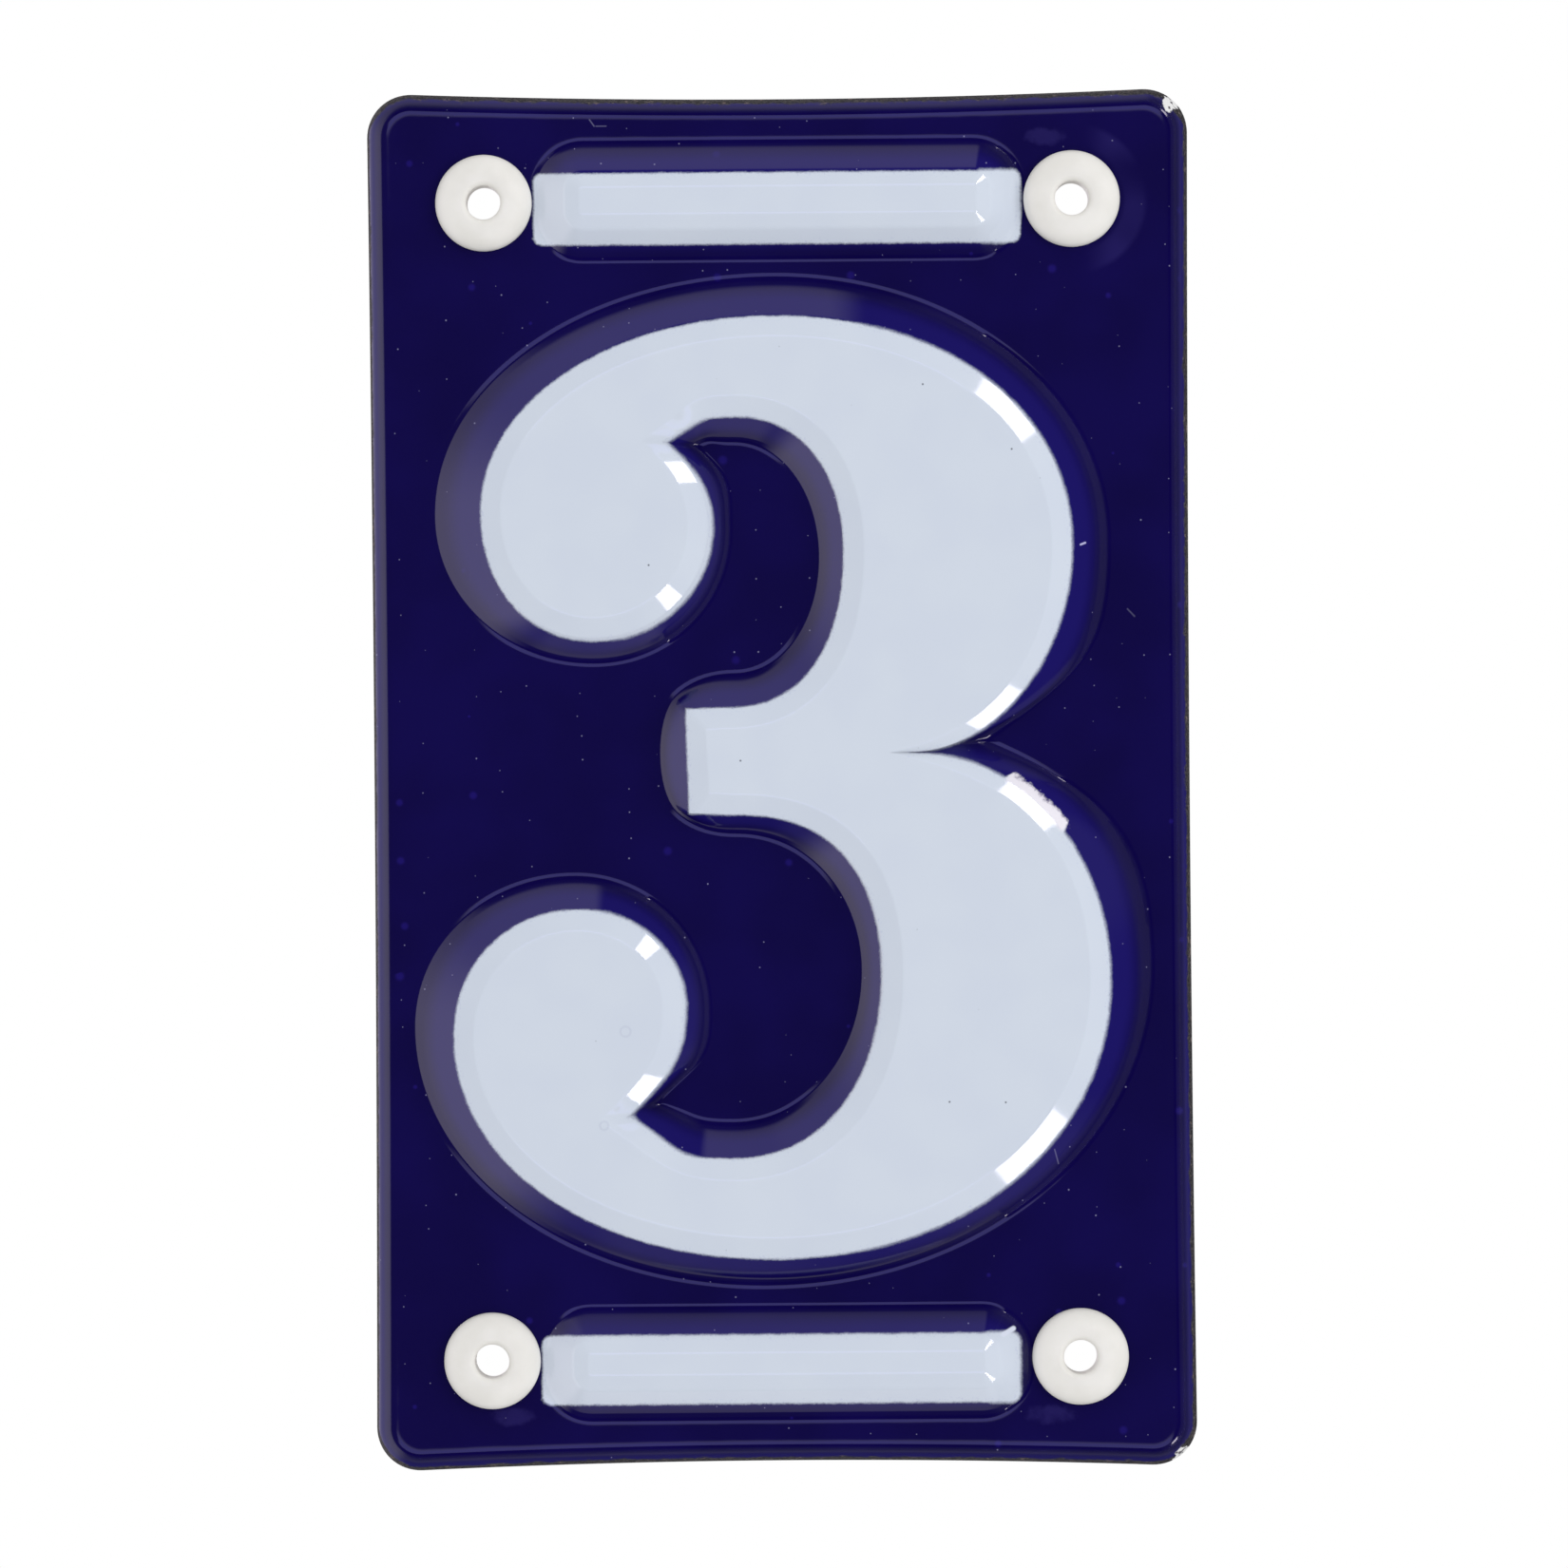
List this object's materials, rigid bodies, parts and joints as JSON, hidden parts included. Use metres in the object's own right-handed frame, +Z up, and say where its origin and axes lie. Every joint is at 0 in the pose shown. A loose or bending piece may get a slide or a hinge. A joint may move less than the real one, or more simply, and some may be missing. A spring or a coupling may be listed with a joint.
{
  "type": "house number plaque",
  "caption": "Upright pressed metal house number plaque in blue and white enamel: a raised numeral between raised bars, a turned-back rim, and domed plastic grommets in the corner screw holes.",
  "frame": {"origin": "middle of the four screw holes, on the wall plane that the rim and the grommets' backs rest against", "axes": "+Z up along the numeral, +Y into the wall, +X to the right as the front is read, so the front looks along -Y"},
  "size_m": [0.0896, 0.0062, 0.1502],
  "materials": {
    "blue_enamel": "gloss vitreous enamel, with a white numeral and bars",
    "white_plastic": "semi-matte moulded plastic"
  },
  "bodies": {
    "root": {"plaque": "blue_enamel", "top_left_grommet": "white_plastic", "top_right_grommet": "white_plastic", "bottom_left_grommet": "white_plastic", "bottom_right_grommet": "white_plastic"}
  },
  "joints": []
}
